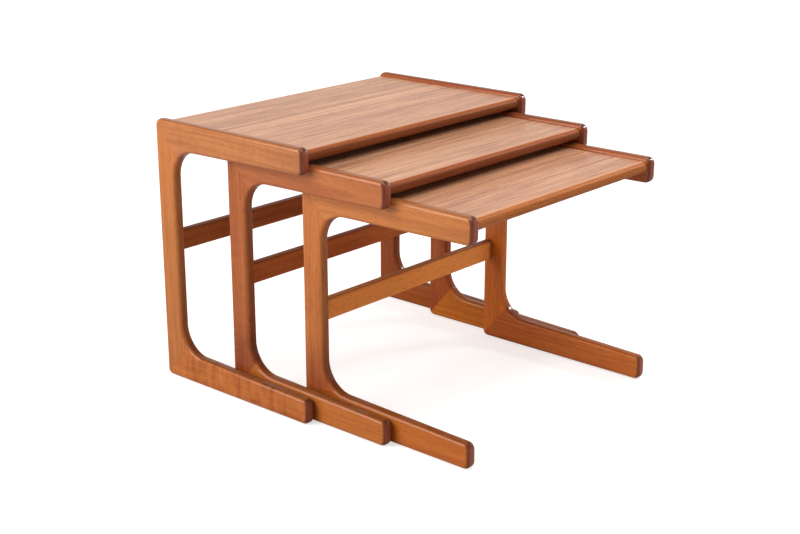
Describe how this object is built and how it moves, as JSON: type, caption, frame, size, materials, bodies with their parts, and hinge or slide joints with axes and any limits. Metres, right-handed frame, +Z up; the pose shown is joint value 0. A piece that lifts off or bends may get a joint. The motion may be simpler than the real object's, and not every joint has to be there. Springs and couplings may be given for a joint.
{
  "type": "nesting tables",
  "caption": "Teak nesting tables: each slides out from under the next larger one, on mitred side frames open at the front.",
  "frame": {"origin": "on the floor, under the middle of the box round the three tables as they stand stepped out", "axes": "+Z up; -Y towards the open fronts, the way the smaller tables pull out; X from frame to frame"},
  "size_m": [0.605, 0.674, 0.48],
  "materials": {
    "teak_frame": "satin oiled teak",
    "teak_lipping": "satin oiled teak",
    "teak_veneer": "satin straight-grained teak veneer",
    "core_board": "raw particle board",
    "beech_dowel": "raw beech"
  },
  "bodies": {
    "table_large": {"large_left_upright": "teak_frame", "large_left_arm": "teak_frame", "large_left_foot": "teak_frame", "large_right_upright": "teak_frame", "large_right_arm": "teak_frame", "large_right_foot": "teak_frame", "large_rear_rail": "teak_frame", "large_front_lipping": "teak_lipping", "large_rear_lipping": "teak_lipping", "large_top_veneer": "teak_veneer", "large_under_veneer": "teak_veneer", "large_top_core": "core_board", "large_mitre_dowels": "beech_dowel", "large_rail_dowels": "beech_dowel", "large_top_dowels": "beech_dowel"},
    "table_medium": {"medium_left_upright": "teak_frame", "medium_left_arm": "teak_frame", "medium_left_foot": "teak_frame", "medium_right_upright": "teak_frame", "medium_right_arm": "teak_frame", "medium_right_foot": "teak_frame", "medium_rear_rail": "teak_frame", "medium_front_lipping": "teak_lipping", "medium_rear_lipping": "teak_lipping", "medium_top_veneer": "teak_veneer", "medium_under_veneer": "teak_veneer", "medium_top_core": "core_board", "medium_mitre_dowels": "beech_dowel", "medium_rail_dowels": "beech_dowel", "medium_top_dowels": "beech_dowel"},
    "table_small": {"small_left_upright": "teak_frame", "small_left_arm": "teak_frame", "small_left_foot": "teak_frame", "small_right_upright": "teak_frame", "small_right_arm": "teak_frame", "small_right_foot": "teak_frame", "small_rear_rail": "teak_frame", "small_front_lipping": "teak_lipping", "small_rear_lipping": "teak_lipping", "small_top_veneer": "teak_veneer", "small_under_veneer": "teak_veneer", "small_top_core": "core_board", "small_mitre_dowels": "beech_dowel", "small_rail_dowels": "beech_dowel", "small_top_dowels": "beech_dowel"}
  },
  "joints": [
    {"name": "medium_slide", "type": "slide", "parent": "table_large", "child": "table_medium", "axis": [0, -1, 0], "range_m": [-0.132, 0.25]},
    {"name": "small_slide", "type": "slide", "parent": "table_medium", "child": "table_small", "axis": [0, -1, 0], "range_m": [-0.132, 0.25]}
  ]
}
